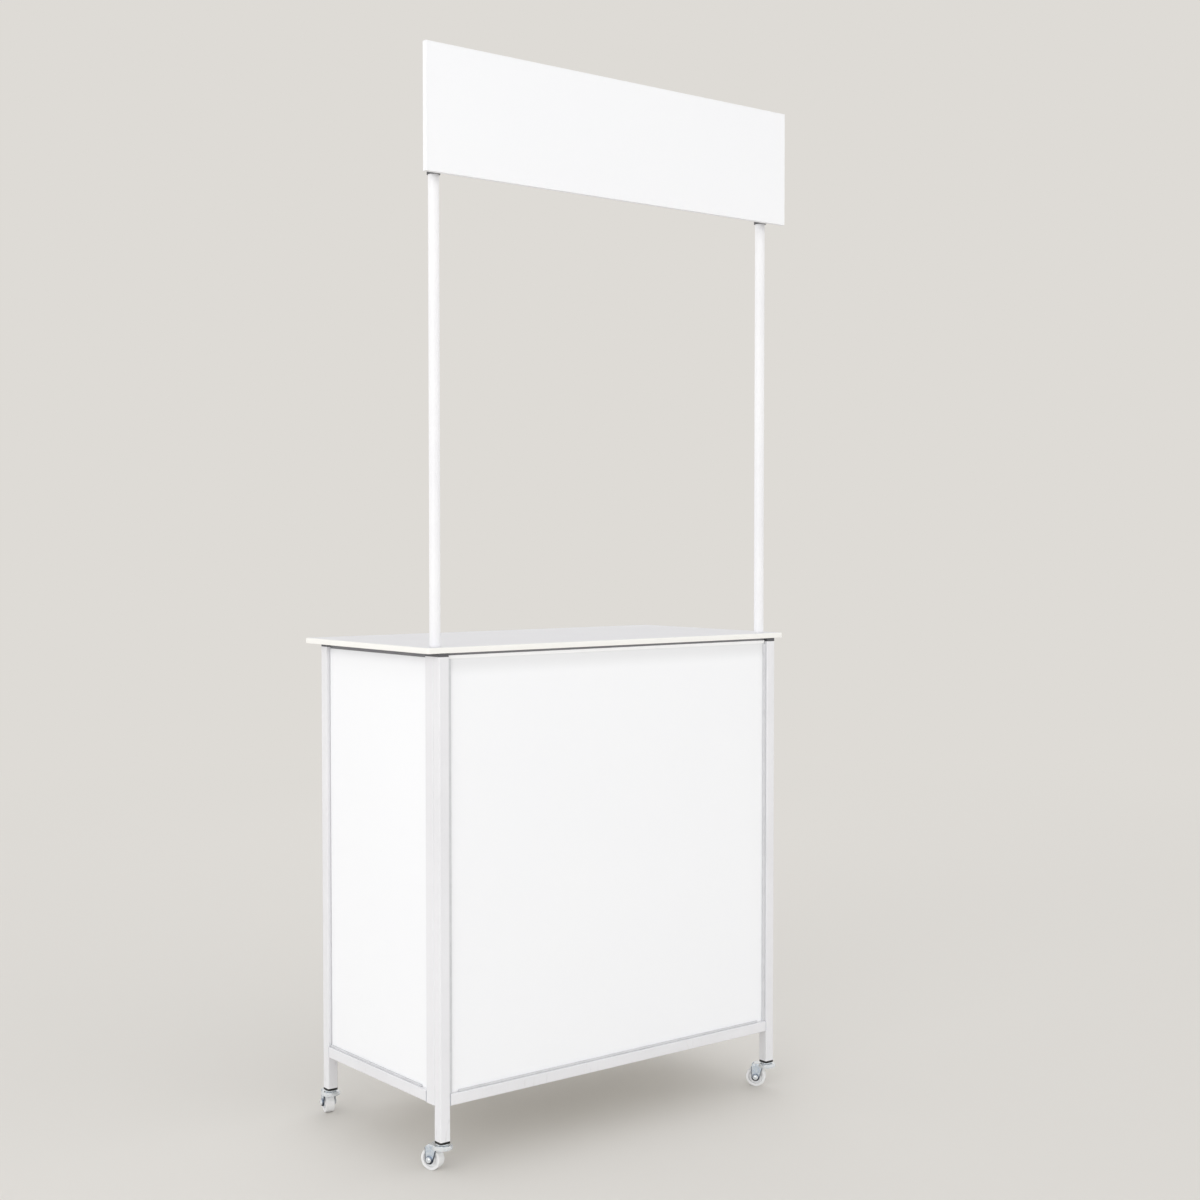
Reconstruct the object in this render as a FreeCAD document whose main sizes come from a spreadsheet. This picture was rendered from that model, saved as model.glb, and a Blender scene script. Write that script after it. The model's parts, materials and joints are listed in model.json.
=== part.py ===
import FreeCAD, Part
import os
import Sketcher

# Promotion counter on casters: a square tube frame with recessed panels on three sides, two
# shelves reached from the open back, a table top, and a header board on two poles that lift out
# of their sockets. Millimetres, +Z up, front towards -Y, origin on the floor under the middle of
# the table top.

SIZES = {
    # Frame of square tube
    "frame_width": 784,
    "frame_depth": 400,
    "post_size": 20,
    "tube_wall": 1.2,
    "tube_corner": 2,
    "leg_underside": 52,
    "rail_underside": 112,
    "socket_size": 25,
    "socket_wall": 1.5,
    # Plastic plugs in the tube ends
    "rail_collar": 1.5,
    "leg_flange": 4,
    "plug_depth": 20,
    "leg_plug_depth": 36,
    "plug_play": 0.1,
    "bush_depth": 40,
    # Angle bars under the table top and under the shelves
    "angle_leg": 20,
    "angle_thickness": 2,
    "screw_line": 12,
    # Table top
    "counter_height": 897,
    "top_thickness": 10,
    "top_side_overhang": 23,
    "top_rear_overhang": 20,
    "top_corner": 6,
    "band_thickness": 3,
    "top_gap": 6,
    # Panels and shelves
    "panel_recess": 7,
    "panel_thickness": 5,
    "panel_gap": 2,
    "side_panel_drop": 3,
    "lug_width": 24,
    "shelf_thickness": 12,
    "shelf_height": 495,
    "shelf_play": 4,
    # Header and its poles
    "pole_diameter": 19,
    "pole_wall": 1.5,
    "pole_play": 0.1,
    "pole_hole_play": 0.5,
    "pole_stop_height": 557,
    "pole_stop_play": 0.3,
    "pole_plug_flange": 3,
    "pole_plug_depth": 15,
    "pole_top_drop": 22,
    "header_underside": 1694,
    "header_height": 215,
    "header_thickness": 10,
    "header_edge": 0.6,
    "clip_height": 30,
    "clip_wall": 2,
    "clip_plate_width": 46,
    "clip_plate_thickness": 3,
    "clip_neck": 12,
    "clip_screw_spread": 16,
    "lower_clip_lift": 2,
    "upper_clip_drop": 60,
    # Screws and stop bolts
    "screw_diameter": 4,
    "screw_hole": 4.6,
    "screw_head": 8,
    "screw_head_height": 2.4,
    "panel_screw_bite": 3.5,
    "board_screw_bite": 8,
    "bolt_diameter": 6,
    "bolt_flats": 10,
    "bolt_head_height": 4,
    # Casters
    "wheel_diameter": 38,
    "wheel_width": 16,
    "wheel_rim": 5,
    "wheel_web": 6,
    "wheel_round": 2.5,
    "hub_width": 18,
    "hub_diameter": 16,
    "caster_trail": 20,
    "stem_diameter": 8,
    "stem_length": 32,
    "race_diameter": 22,
    "race_thickness": 2,
    "race_play": 0.5,
    "rivet_diameter": 13,
    "rivet_height": 2,
    "fork_gap": 19,
    "fork_sheet": 2,
    "fork_bend": 3,
    "fork_head_diameter": 36,
    "fork_head_thickness": 6.5,
    "fork_head_bevel": 2.5,
    "fork_boss": 8,
    "fork_front": 6,
    "fork_rear": 29,
    "fork_shoulder": 6,
    "axle_diameter": 8,
    "axle_play": 0.1,
    "axle_head": 13,
    "axle_head_height": 3.5,
    "axle_tip": 1.5,
    # Turn of each caster at rest, in degrees from +X
    "swivel_front_left": 113,
    "swivel_front_right": 131,
    "swivel_rear_left": 74,
    "swivel_rear_right": 55,
}

doc = FreeCAD.newDocument("promotion_counter")
dims = doc.addObject("Spreadsheet::Sheet", "dims")
for row, (alias, size) in enumerate(SIZES.items(), start=1):
    dims.set(f"A{row}", alias)
    dims.set(f"B{row}", str(size))
    dims.setAlias(f"B{row}", alias)
doc.recompute()

# Planes that many pieces share, as sheet expressions
HALF_WIDTH = "(dims.frame_width / 2)"
FRONT_FACE = "(-(dims.frame_depth + dims.top_rear_overhang) / 2)"
REAR_FACE = "((dims.frame_depth - dims.top_rear_overhang) / 2)"
SOCKET_REAR = f"({FRONT_FACE} + dims.post_size + dims.socket_size)"
REAR_POST_FRONT = f"({REAR_FACE} - dims.post_size)"
SIDE_MIDDLE = f"(({SOCKET_REAR} + {REAR_POST_FRONT}) / 2)"
RAIL_TOP = "(dims.rail_underside + dims.post_size)"
TOP_UNDERSIDE = "(dims.counter_height - dims.top_thickness)"
POST_TOP = f"({TOP_UNDERSIDE} - dims.top_gap)"
TOP_WIDTH = "(dims.frame_width + 2 * dims.top_side_overhang)"
TOP_DEPTH = "(dims.frame_depth + dims.top_rear_overhang)"
PANEL_INNER = "(dims.panel_recess + dims.panel_thickness)"
POLE_X = f"({HALF_WIDTH} - dims.socket_size / 2)"
POLE_Y = f"({FRONT_FACE} + dims.post_size + dims.socket_size / 2)"
POLE_FOOT = "(dims.pole_stop_height + dims.bolt_diameter / 2 + dims.pole_stop_play)"
HEADER_BACK = f"({FRONT_FACE} + dims.header_thickness)"
CASTER_HEIGHT = "(dims.leg_underside - dims.leg_flange)"

SIDES = {"left": -1, "right": 1}
POST_ROWS = {
    "front": f"({FRONT_FACE} + dims.post_size / 2)",
    "rear": f"({REAR_FACE} - dims.post_size / 2)",
}

X_AXIS = FreeCAD.Vector(1, 0, 0)
Y_AXIS = FreeCAD.Vector(0, 1, 0)
Z_AXIS = FreeCAD.Vector(0, 0, 1)
UPRIGHT = FreeCAD.Rotation()
HALF_TURN = FreeCAD.Rotation(Z_AXIS, 180)

nodes = []


def number(expression):
    """Value of a sheet expression, so that a sketch is drawn close to its final size."""
    return float(dims.evalExpression(expression))


def pointing(direction):
    """Turn that takes a piece's own Z axis to this direction."""
    return FreeCAD.Rotation(Z_AXIS, direction)


def facing(x_axis, y_axis):
    """Turn that takes a piece's own X and Y axes to these directions."""
    return FreeCAD.Rotation(x_axis, y_axis, x_axis.cross(y_axis), "XYZ")


def place(piece, x, y, z, turn=UPRIGHT):
    """Put a piece at a place given by sheet expressions."""
    piece.Placement = FreeCAD.Placement(FreeCAD.Vector(), turn)
    piece.setExpression("Placement.Base.x", x)
    piece.setExpression("Placement.Base.y", y)
    piece.setExpression("Placement.Base.z", z)
    return piece


def new_body(label):
    body = doc.addObject("PartDesign::Body", label)
    body.Label = label
    return body


def new_sketch(body, role="XY_Plane", lift="0"):
    """Empty sketch on one of the body's own origin planes, lifted along its normal."""
    sketch = body.newObject("Sketcher::SketchObject", "sketch")
    plane = next(feature for feature in body.Origin.OriginFeatures if feature.Role == role)
    sketch.AttachmentSupport = (plane, [""])
    sketch.MapMode = "FlatFace"
    sketch.setExpression("AttachmentOffset.Base.z", lift)
    return sketch


def tie(sketch, kind, geometry, point, expression):
    """Hold one coordinate of a sketch point at a sheet expression."""
    rule = Sketcher.Constraint(kind, -1, 1, geometry, point, number(expression))
    index = sketch.addConstraint(rule)
    sketch.setExpression(f"Constraints[{index}]", expression)


def polygon(sketch, corners):
    """Closed outline of straight lines through corners given as expressions."""
    places = [FreeCAD.Vector(number(x), number(y), 0) for x, y in corners]
    first = sketch.GeometryCount
    count = len(corners)
    for start, end in zip(places, places[1:] + places[:1]):
        sketch.addGeometry(Part.LineSegment(start, end))
    for i in range(count):
        follower = first + (i + 1) % count
        sketch.addConstraint(Sketcher.Constraint("Coincident", first + i, 2, follower, 1))
    for i, (x, y) in enumerate(corners):
        tie(sketch, "DistanceX", first + i, 1, x)
        tie(sketch, "DistanceY", first + i, 1, y)


def rectangle(sketch, x_low, y_low, x_high, y_high):
    polygon(sketch, [(x_low, y_low), (x_high, y_low), (x_high, y_high), (x_low, y_high)])


def centred(sketch, width, depth):
    rectangle(sketch, f"-{width} / 2", f"-{depth} / 2", f"{width} / 2", f"{depth} / 2")


def square(sketch, size):
    centred(sketch, size, size)


def hexagon(sketch, flats):
    corner = f"{flats} / sqrt(3)"
    angles = range(0, 360, 60)
    polygon(sketch, [(f"{corner} * cos({a} deg)", f"{corner} * sin({a} deg)") for a in angles])


def circle(sketch, x, y, diameter):
    centre = FreeCAD.Vector(number(x), number(y), 0)
    radius = number(f"({diameter}) / 2")
    geometry = sketch.addGeometry(Part.Circle(centre, Z_AXIS, radius))
    tie(sketch, "DistanceX", geometry, 3, x)
    tie(sketch, "DistanceY", geometry, 3, y)
    index = sketch.addConstraint(Sketcher.Constraint("Radius", geometry, radius))
    sketch.setExpression(f"Constraints[{index}]", f"({diameter}) / 2")


def pad(body, sketch, length, side="One side", flip=False):
    feature = body.newObject("PartDesign::Pad", "pad")
    feature.Profile = sketch
    feature.SideType = side
    feature.Reversed = flip
    feature.setExpression("Length", length)
    return feature


def pocket(body, sketch, length, side="One side", flip=False):
    """Cut a sketch into the body, and make sure that it takes material away."""
    doc.recompute()
    volume = body.Shape.Volume
    feature = body.newObject("PartDesign::Pocket", "pocket")
    feature.Profile = sketch
    feature.SideType = side
    feature.Reversed = flip
    feature.setExpression("Length", length)
    doc.recompute()
    if body.Shape.Volume >= volume:
        raise ValueError(f"{body.Label}: a pocket cuts nothing")
    return feature


def revolve(body, corners, role):
    """Turn an outline of radius and height about the upright axis of its sketch."""
    outline = new_sketch(body, role)
    polygon(outline, corners)
    feature = body.newObject("PartDesign::Revolution", "revolution")
    feature.Profile = outline
    feature.ReferenceAxis = (outline, ["V_Axis"])
    feature.Angle = 360
    return feature


def fillet(body, feature, radius, chosen):
    """Round the edges of a feature that the given test picks."""
    doc.recompute()
    edges = enumerate(feature.Shape.Edges, start=1)
    names = [f"Edge{i}" for i, edge in edges if chosen(edge)]
    rounded = body.newObject("PartDesign::Fillet", "fillet")
    rounded.Base = (feature, names)
    rounded.setExpression("Radius", radius)
    return rounded


def is_corner(edge, half_width, half_depth):
    """Whether an edge runs along the body's Z axis at the corner of a rectangle."""
    middle = edge.CenterOfMass
    run = edge.BoundBox
    near = 1e-4
    straight = run.XLength < near and run.YLength < near
    at_width = abs(abs(middle.x) - half_width) < near
    at_depth = abs(abs(middle.y) - half_depth) < near
    return straight and at_width and at_depth


def round_corners(body, feature, radius, width, depth):
    half_width = number(width) / 2
    half_depth = number(depth) / 2
    return fillet(body, feature, radius, lambda edge: is_corner(edge, half_width, half_depth))


def copies(label, master, places):
    """One node of separate, identical pieces, each at its own place and turn."""
    links = []
    for x, y, z, turn in places:
        link = doc.addObject("App::Link", f"{label}_copy")
        link.LinkedObject = master
        links.append(place(link, x, y, z, turn))
    group = doc.addObject("Part::Compound", label)
    group.Label = label
    group.Links = links
    nodes.append(group)


# Tubes of the frame


def square_tube(label, size, wall, length):
    """Square tube with rounded corners along its own Z axis."""
    body = new_body(label)
    section = new_sketch(body)
    square(section, size)
    square(section, f"({size} - 2 * {wall})")
    tube = pad(body, section, length)
    round_corners(body, tube, "dims.tube_corner", size, size)
    nodes.append(body)
    return body


def frame_tube(label, length):
    return square_tube(label, "dims.post_size", "dims.tube_wall", length)


def make_posts():
    for row, y in POST_ROWS.items():
        for name, side in SIDES.items():
            post = frame_tube(f"post_{row}_{name}", f"{POST_TOP} - dims.leg_underside")
            place(post, f"{side} * ({HALF_WIDTH} - dims.post_size / 2)", y, "dims.leg_underside")


def make_pole_sockets():
    """A wider tube behind each front post takes the pole; its inner wall has the stop bolt's hole."""
    for name, side in SIDES.items():
        length = f"{POST_TOP} - dims.rail_underside"
        socket = square_tube(f"pole_socket_{name}", "dims.socket_size", "dims.socket_wall", length)
        hole = new_sketch(socket, "YZ_Plane")
        circle(hole, "0", "dims.pole_stop_height - dims.rail_underside", "dims.bolt_diameter")
        pocket(socket, hole, "dims.socket_size", flip=True)
        turn = UPRIGHT if side < 0 else HALF_TURN
        place(socket, f"{side} * {POLE_X}", POLE_Y, "dims.rail_underside", turn)


RAIL_HALF = f"({HALF_WIDTH} - dims.post_size - dims.rail_collar)"
SIDE_RAIL_START = f"({SOCKET_REAR} + dims.rail_collar)"
SIDE_RAIL_END = f"({REAR_POST_FRONT} - dims.rail_collar)"
LOWER_RAIL_Z = "(dims.rail_underside + dims.post_size / 2)"
UPPER_RAIL_Z = f"({POST_TOP} - dims.post_size / 2)"
SIDE_RAIL_X = f"({HALF_WIDTH} - dims.post_size / 2)"
CROSS_RAILS = {
    "rail_front_lower": (POST_ROWS["front"], LOWER_RAIL_Z),
    "rail_rear_lower": (POST_ROWS["rear"], LOWER_RAIL_Z),
    "rail_rear_upper": (POST_ROWS["rear"], UPPER_RAIL_Z),
}


def make_rails():
    for label, (y, z) in CROSS_RAILS.items():
        rail = frame_tube(label, f"2 * {RAIL_HALF}")
        place(rail, f"-{RAIL_HALF}", y, z, pointing(X_AXIS))
    for name, side in SIDES.items():
        rail = frame_tube(f"rail_{name}_lower", f"{SIDE_RAIL_END} - {SIDE_RAIL_START}")
        place(rail, f"{side} * {SIDE_RAIL_X}", SIDE_RAIL_START, LOWER_RAIL_Z, pointing(Y_AXIS))


# Angle bars, with the screw holes of both legs as fractions of their length
FRONT_BAR = "(dims.frame_width - 2 * dims.socket_size)"
SIDE_BAR = f"({REAR_POST_FRONT} - {SOCKET_REAR})"
FRONT_TOP_SCREWS = [1 / 8, 3 / 8, 5 / 8, 7 / 8]
FRONT_PANEL_SCREWS = [1 / 6, 1 / 2, 5 / 6]
SIDE_FLAT_SCREWS = [1 / 4, 3 / 4]
SIDE_PANEL_SCREWS = [1 / 5, 4 / 5]


def angle_bar(label, length, flat_holes, upright_holes):
    """Angle bar along its own Z axis; the flat leg lies along X and the upright leg along Y."""
    body = new_body(label)
    section = new_sketch(body)
    leg = "dims.angle_leg"
    thin = "dims.angle_thickness"
    corners = [("0", "0"), (leg, "0"), (leg, thin), (thin, thin), (thin, leg), ("0", leg)]
    polygon(section, corners)
    pad(body, section, length)
    for role, holes in (("XZ_Plane", flat_holes), ("YZ_Plane", upright_holes)):
        if holes:
            drill = new_sketch(body, role)
            for fraction in holes:
                circle(drill, "dims.screw_line", f"{length} * {fraction}", "dims.screw_hole")
            pocket(body, drill, "2 * dims.angle_leg", side="Symmetric")
    nodes.append(body)
    return body


def make_top_angles():
    front = angle_bar("top_angle_front", FRONT_BAR, FRONT_TOP_SCREWS, FRONT_PANEL_SCREWS)
    y = f"{FRONT_FACE} + {PANEL_INNER}"
    place(front, f"{FRONT_BAR} / 2", y, POST_TOP, facing(Y_AXIS, -Z_AXIS))
    for name, side in SIDES.items():
        bar = angle_bar(f"top_angle_{name}", SIDE_BAR, SIDE_FLAT_SCREWS, SIDE_PANEL_SCREWS)
        start = SOCKET_REAR if side < 0 else REAR_POST_FRONT
        turn = facing(-side * X_AXIS, -Z_AXIS)
        place(bar, f"{side} * ({HALF_WIDTH} - {PANEL_INNER})", start, POST_TOP, turn)


BEARER_HEIGHTS = {"lower": RAIL_TOP, "upper": "dims.shelf_height"}


def make_shelf_bearers():
    for level, z in BEARER_HEIGHTS.items():
        panel_holes = SIDE_PANEL_SCREWS if level == "lower" else []
        for name, side in SIDES.items():
            label = f"shelf_bearer_{level}_{name}"
            bar = angle_bar(label, SIDE_BAR, SIDE_FLAT_SCREWS, panel_holes)
            start = REAR_POST_FRONT if side < 0 else SOCKET_REAR
            turn = facing(-side * X_AXIS, Z_AXIS)
            place(bar, f"{side} * ({HALF_WIDTH} - {PANEL_INNER})", start, z, turn)


# Panels, drawn from the middle of their lower edge on their inner face
PANEL_FOOT = f"({RAIL_TOP} + dims.panel_gap)"
FRONT_PANEL_WIDTH = "(dims.frame_width - 2 * dims.post_size - 2 * dims.panel_gap)"
SIDE_PANEL_WIDTH = f"({SIDE_BAR} - 2 * dims.panel_gap)"
SIDE_PANEL_TOP = f"({POST_TOP} - dims.side_panel_drop)"
PANEL_LOW_SCREWS = f"({RAIL_TOP} + dims.screw_line)"
PANEL_HIGH_SCREWS = f"({POST_TOP} - dims.screw_line)"


def panel(label, width, top, bar_length, fractions):
    """Flat sheet with blind screw holes in its inner face."""
    body = new_body(label)
    outline = new_sketch(body)
    rectangle(outline, f"-{width} / 2", "0", f"{width} / 2", f"{top} - {PANEL_FOOT}")
    pad(body, outline, "dims.panel_thickness")
    pilots = new_sketch(body)
    for fraction in fractions:
        for height in (PANEL_LOW_SCREWS, PANEL_HIGH_SCREWS):
            across = f"{bar_length} * {fraction - 1 / 2}"
            circle(pilots, across, f"{height} - {PANEL_FOOT}", "dims.screw_diameter")
    pocket(body, pilots, "dims.panel_screw_bite", flip=True)
    nodes.append(body)
    return body


def side_panel_place(side, z):
    """Place and turn of what stands on a side panel's inner face."""
    x = f"{side} * ({HALF_WIDTH} - {PANEL_INNER})"
    return x, SIDE_MIDDLE, z, facing(side * Y_AXIS, Z_AXIS)


def make_panels():
    front = panel("panel_front", FRONT_PANEL_WIDTH, POST_TOP, FRONT_BAR, FRONT_PANEL_SCREWS)
    place(front, "0", f"{FRONT_FACE} + {PANEL_INNER}", PANEL_FOOT, facing(X_AXIS, Z_AXIS))
    for name, side in SIDES.items():
        label = f"panel_{name}"
        sheet = panel(label, SIDE_PANEL_WIDTH, SIDE_PANEL_TOP, SIDE_BAR, SIDE_PANEL_SCREWS)
        place(sheet, *side_panel_place(side, PANEL_FOOT))


def make_side_seals():
    """Foam strips close the gap between the side panels and the table top."""
    strip = new_body("strip")
    outline = new_sketch(strip)
    half = f"{SIDE_PANEL_WIDTH} / 2"
    rectangle(outline, f"-{half}", "0", half, f"{TOP_UNDERSIDE} - {SIDE_PANEL_TOP}")
    pad(strip, outline, "dims.panel_thickness")
    copies("side_seals", strip, [side_panel_place(side, SIDE_PANEL_TOP) for side in SIDES.values()])


def make_panel_lugs():
    """Small plates stand on the front rail and hold the front panel's lower edge."""
    lug = new_body("lug")
    outline = new_sketch(lug)
    rectangle(outline, "-dims.lug_width / 2", "0", "dims.lug_width / 2", "dims.angle_leg")
    circle(outline, "0", "dims.screw_line", "dims.screw_hole")
    pad(lug, outline, "dims.angle_thickness")
    y = f"{FRONT_FACE} + {PANEL_INNER} + dims.angle_thickness"
    turn = facing(X_AXIS, Z_AXIS)
    places = [(f"{FRONT_BAR} * {f - 1 / 2}", y, RAIL_TOP, turn) for f in FRONT_PANEL_SCREWS]
    copies("panel_lugs", lug, places)


# Shelves and table top

SHELF_LEVELS = {name: f"({z} + dims.angle_thickness)" for name, z in BEARER_HEIGHTS.items()}


def make_shelves():
    """Boards on the angle bars, cut out round the pole sockets and the rear posts."""
    half = f"({HALF_WIDTH} - {PANEL_INNER} - dims.angle_thickness - dims.shelf_play)"
    socket_x = f"({HALF_WIDTH} - dims.socket_size - dims.shelf_play)"
    socket_y = f"({SOCKET_REAR} + dims.shelf_play)"
    post_x = f"({HALF_WIDTH} - dims.post_size - dims.shelf_play)"
    post_y = f"({REAR_POST_FRONT} - dims.shelf_play)"
    front = f"({FRONT_FACE} + {PANEL_INNER} + dims.angle_thickness + dims.shelf_play)"
    rear = f"({REAR_FACE} - dims.angle_thickness)"
    right_half = [
        (socket_x, front),
        (socket_x, socket_y),
        (half, socket_y),
        (half, post_y),
        (post_x, post_y),
        (post_x, rear),
    ]
    left_half = [(f"-{x}", y) for x, y in reversed(right_half)]
    for level, z in SHELF_LEVELS.items():
        body = new_body(f"shelf_{level}")
        outline = new_sketch(body)
        polygon(outline, right_half + left_half)
        pad(body, outline, "dims.shelf_thickness")
        pilots = new_sketch(body)
        for x, y in side_screw_places(SIDE_FLAT_SCREWS):
            circle(pilots, x, y, "dims.screw_diameter")
        pocket(body, pilots, "dims.board_screw_bite", flip=True)
        nodes.append(place(body, "0", "0", z))


def side_screw_places(fractions):
    """Plan places of the upright screws in the flat legs of the side bars."""
    x = f"({HALF_WIDTH} - {PANEL_INNER} - dims.screw_line)"
    return [
        (f"{side} * {x}", f"{SIDE_MIDDLE} + {SIDE_BAR} * {fraction - 1 / 2}")
        for side in SIDES.values()
        for fraction in fractions
    ]


def top_screw_places():
    y = f"({FRONT_FACE} + {PANEL_INNER} + dims.screw_line)"
    front = [(f"{FRONT_BAR} * {fraction - 1 / 2}", y) for fraction in FRONT_TOP_SCREWS]
    return front + side_screw_places(SIDE_FLAT_SCREWS)


def make_table_top():
    core_width = f"({TOP_WIDTH} - 2 * dims.band_thickness)"
    core_depth = f"({TOP_DEPTH} - 2 * dims.band_thickness)"
    core_corner = "dims.top_corner - dims.band_thickness"
    core = new_body("table_top")
    outline = new_sketch(core)
    centred(outline, core_width, core_depth)
    for side in SIDES.values():
        hole = "dims.pole_diameter + 2 * dims.pole_hole_play"
        circle(outline, f"{side} * {POLE_X}", POLE_Y, hole)
    slab = pad(core, outline, "dims.top_thickness")
    round_corners(core, slab, core_corner, core_width, core_depth)
    pilots = new_sketch(core)
    for x, y in top_screw_places():
        circle(pilots, x, y, "dims.screw_diameter")
    pocket(core, pilots, "dims.board_screw_bite", flip=True)
    nodes.append(place(core, "0", "0", TOP_UNDERSIDE))

    band = new_body("top_edge_band")
    ring = new_sketch(band)
    for width, depth in ((TOP_WIDTH, TOP_DEPTH), (core_width, core_depth)):
        centred(ring, width, depth)
    strip = pad(band, ring, "dims.top_thickness")
    outer = round_corners(band, strip, "dims.top_corner", TOP_WIDTH, TOP_DEPTH)
    round_corners(band, outer, core_corner, core_width, core_depth)
    nodes.append(place(band, "0", "0", TOP_UNDERSIDE))


# Plugs, caps and bushes in the tube ends


def end_plug(label, size, wall, flange, depth, bore=None):
    """Square plug: its flange covers the tube end above Z 0, and its block goes into the tube."""
    body = new_body(label)
    block = f"({size} - 2 * {wall} - 2 * dims.plug_play)"
    for width, length, flip in ((size, flange, False), (block, depth, True)):
        outline = new_sketch(body)
        square(outline, width)
        if bore:
            circle(outline, "0", "0", bore)
        feature = pad(body, outline, length, flip=flip)
        if not flip:
            round_corners(body, feature, "dims.tube_corner", size, size)
    return body


def make_plugs():
    post_spots = [
        (f"{side} * ({HALF_WIDTH} - dims.post_size / 2)", y)
        for y in POST_ROWS.values()
        for side in SIDES.values()
    ]
    cap = end_plug("cap", "dims.post_size", "dims.tube_wall", "dims.top_gap", "dims.plug_depth")
    copies("post_caps", cap, [(x, y, POST_TOP, UPRIGHT) for x, y in post_spots])

    foot = end_plug(
        "foot",
        "dims.post_size",
        "dims.tube_wall",
        "dims.leg_flange",
        "dims.leg_plug_depth",
        bore="dims.stem_diameter",
    )
    upside_down = FreeCAD.Rotation(X_AXIS, 180)
    copies("leg_plugs", foot, [(x, y, "dims.leg_underside", upside_down) for x, y in post_spots])

    tip = end_plug("tip", "dims.post_size", "dims.tube_wall", "dims.rail_collar", "dims.plug_depth")
    places = []
    for side in SIDES.values():
        for y, z in CROSS_RAILS.values():
            places.append((f"{side} * {RAIL_HALF}", y, z, pointing(side * X_AXIS)))
        x = f"{side} * {SIDE_RAIL_X}"
        places.append((x, SIDE_RAIL_START, LOWER_RAIL_Z, pointing(-Y_AXIS)))
        places.append((x, SIDE_RAIL_END, LOWER_RAIL_Z, pointing(Y_AXIS)))
    copies("rail_end_plugs", tip, places)

    for name, side in SIDES.items():
        bush = end_plug(
            f"socket_bush_{name}",
            "dims.socket_size",
            "dims.socket_wall",
            "dims.top_gap",
            "dims.bush_depth",
            bore="dims.pole_diameter + 2 * dims.pole_play",
        )
        nodes.append(place(bush, f"{side} * {POLE_X}", POLE_Y, POST_TOP))


# Screws and bolts


def screw(label, length):
    """Pan head screw: its head lies below Z 0 and its shank goes up to a point."""
    body = new_body(label)
    head = "dims.screw_head / 2"
    shank = "dims.screw_diameter / 2"
    high = "dims.screw_head_height"
    corners = [
        ("0", f"-{high}"),
        (f"{head} * 0.6", f"-{high}"),
        (head, f"-{high} * 0.4"),
        (head, "0"),
        (shank, "0"),
        (shank, f"{length} - {shank}"),
        ("0", length),
    ]
    revolve(body, corners, "XZ_Plane")
    return body


def make_screws():
    flat = "dims.angle_thickness"
    top_length = f"({flat} + dims.top_gap + dims.board_screw_bite)"
    top_places = [(x, y, f"{POST_TOP} - {flat}", UPRIGHT) for x, y in top_screw_places()]
    copies("top_screws", screw("top_screw", top_length), top_places)

    shelf_length = f"({flat} + dims.board_screw_bite)"
    shelf_places = [
        (x, y, z, UPRIGHT)
        for z in BEARER_HEIGHTS.values()
        for x, y in side_screw_places(SIDE_FLAT_SCREWS)
    ]
    copies("shelf_screws", screw("shelf_screw", shelf_length), shelf_places)

    panel_places = []
    inner = f"({PANEL_INNER} + {flat})"
    for z in (PANEL_LOW_SCREWS, PANEL_HIGH_SCREWS):
        for fraction in FRONT_PANEL_SCREWS:
            x = f"{FRONT_BAR} * {fraction - 1 / 2}"
            panel_places.append((x, f"{FRONT_FACE} + {inner}", z, pointing(-Y_AXIS)))
        for side in SIDES.values():
            for fraction in SIDE_PANEL_SCREWS:
                y = f"{SIDE_MIDDLE} + {SIDE_BAR} * {fraction - 1 / 2}"
                x = f"{side} * ({HALF_WIDTH} - {inner})"
                panel_places.append((x, y, z, pointing(side * X_AXIS)))
    panel_length = f"({flat} + dims.panel_screw_bite)"
    copies("panel_screws", screw("panel_screw", panel_length), panel_places)


def make_stop_bolts():
    """A hexagon bolt through each socket's inner wall; the pole's foot stands on it."""
    bolt = new_body("bolt")
    head = new_sketch(bolt)
    hexagon(head, "dims.bolt_flats")
    pad(bolt, head, "dims.bolt_head_height", flip=True)
    shank = new_sketch(bolt)
    circle(shank, "0", "0", "dims.bolt_diameter")
    pad(bolt, shank, "dims.socket_size - 2 * dims.socket_wall")
    inner = f"({HALF_WIDTH} - dims.socket_size)"
    places = [
        (f"{side} * {inner}", POLE_Y, "dims.pole_stop_height", pointing(side * X_AXIS))
        for side in SIDES.values()
    ]
    copies("socket_stop_bolts", bolt, places)


# Header: two poles, the board in front of them, and the clips between

POLE_START = f"({POLE_FOOT} + dims.pole_plug_flange)"
POLE_END = "(dims.header_underside + dims.header_height - dims.pole_top_drop)"
CLIP_LEVELS = [
    "(dims.header_underside + dims.lower_clip_lift)",
    "(dims.header_underside + dims.header_height - dims.upper_clip_drop)",
]


def make_poles():
    for name, side in SIDES.items():
        pole = new_body(f"header_pole_{name}")
        section = new_sketch(pole)
        circle(section, "0", "0", "dims.pole_diameter")
        circle(section, "0", "0", "dims.pole_diameter - 2 * dims.pole_wall")
        pad(pole, section, f"{POLE_END} - {POLE_START}")
        nodes.append(place(pole, f"{side} * {POLE_X}", POLE_Y, POLE_START))

    plug = new_body("pole_plug")
    flange = new_sketch(plug)
    circle(flange, "0", "0", "dims.pole_diameter")
    pad(plug, flange, "dims.pole_plug_flange")
    block = new_sketch(plug)
    bore = "dims.pole_diameter - 2 * dims.pole_wall - 2 * dims.plug_play"
    circle(block, "0", "0", bore)
    pad(plug, block, "dims.pole_plug_depth", flip=True)
    spots = [f"{side} * {POLE_X}" for side in SIDES.values()]
    copies("pole_caps", plug, [(x, POLE_Y, POLE_END, UPRIGHT) for x in spots])
    upside_down = FreeCAD.Rotation(X_AXIS, 180)
    copies("pole_feet", plug, [(x, POLE_Y, POLE_START, upside_down) for x in spots])


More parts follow.
